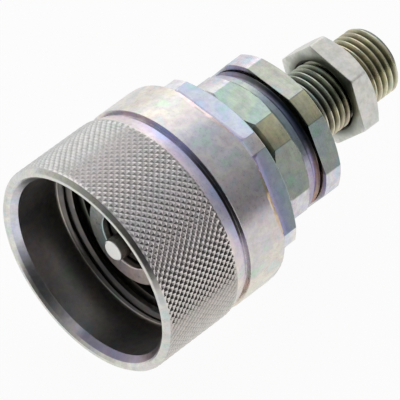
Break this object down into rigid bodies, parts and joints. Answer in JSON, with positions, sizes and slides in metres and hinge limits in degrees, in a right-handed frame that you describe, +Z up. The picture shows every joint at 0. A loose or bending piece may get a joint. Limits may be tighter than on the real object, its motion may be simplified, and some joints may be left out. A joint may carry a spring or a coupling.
{
  "type": "bulkhead quick coupling",
  "caption": "Screw-to-connect hydraulic quick coupling with a knurled, internally threaded sleeve, a poppet valve and a threaded bulkhead stud with its locknut",
  "frame": {"origin": "centre of the shoulder that seats on the panel, on the coupling's axis", "axes": "+Y along the axis towards the tube end, -Y out of the coupling mouth, +Z up"},
  "size_m": [0.0544, 0.0962, 0.0544],
  "materials": {
    "zinc_plated_sleeve": "iridescent zinc plate over a diamond knurl",
    "zinc_plated_body": "iridescent zinc plate, turned and milled",
    "zinc_plated_adapter": "iridescent zinc plate, turned and milled",
    "zinc_plated_nut": "iridescent zinc plate, cold formed",
    "plain_steel": "plain turned steel",
    "spring_steel": "drawn wire",
    "slide_plastic": "smooth, off-white",
    "seal_rubber": "moulded, matt"
  },
  "bodies": {
    "body": {"valve_body": "zinc_plated_body", "bulkhead_adapter": "zinc_plated_adapter", "thrust_ring": "slide_plastic", "sleeve_o_ring": "seal_rubber", "retaining_ring": "spring_steel", "adapter_o_ring": "seal_rubber", "adapter_backup_ring": "slide_plastic", "valve_guide": "plain_steel", "valve_spring": "spring_steel"},
    "sleeve": {"coupling_sleeve": "zinc_plated_sleeve"},
    "poppet": {"poppet_nose": "plain_steel", "poppet_stem": "plain_steel", "poppet_seal": "seal_rubber"},
    "nut": {"locknut": "zinc_plated_nut"}
  },
  "joints": [
    {"name": "sleeve_spin", "type": "hinge", "parent": "body", "child": "sleeve", "pos_m": [0, -0.0252, 0], "axis": [0, 1, 0], "continuous": true},
    {"name": "poppet_slide", "type": "slide", "parent": "body", "child": "poppet", "axis": [0, 1, 0], "range_m": [0, 0.0058], "stiffness_N_per_m": 2900, "springref_m": -0.009, "deforming": ["valve_spring"]},
    {"name": "locknut_slide", "type": "slide", "parent": "body", "child": "nut", "axis": [0, 1, 0], "range_m": [-0.0143, 0.0112]}
  ]
}
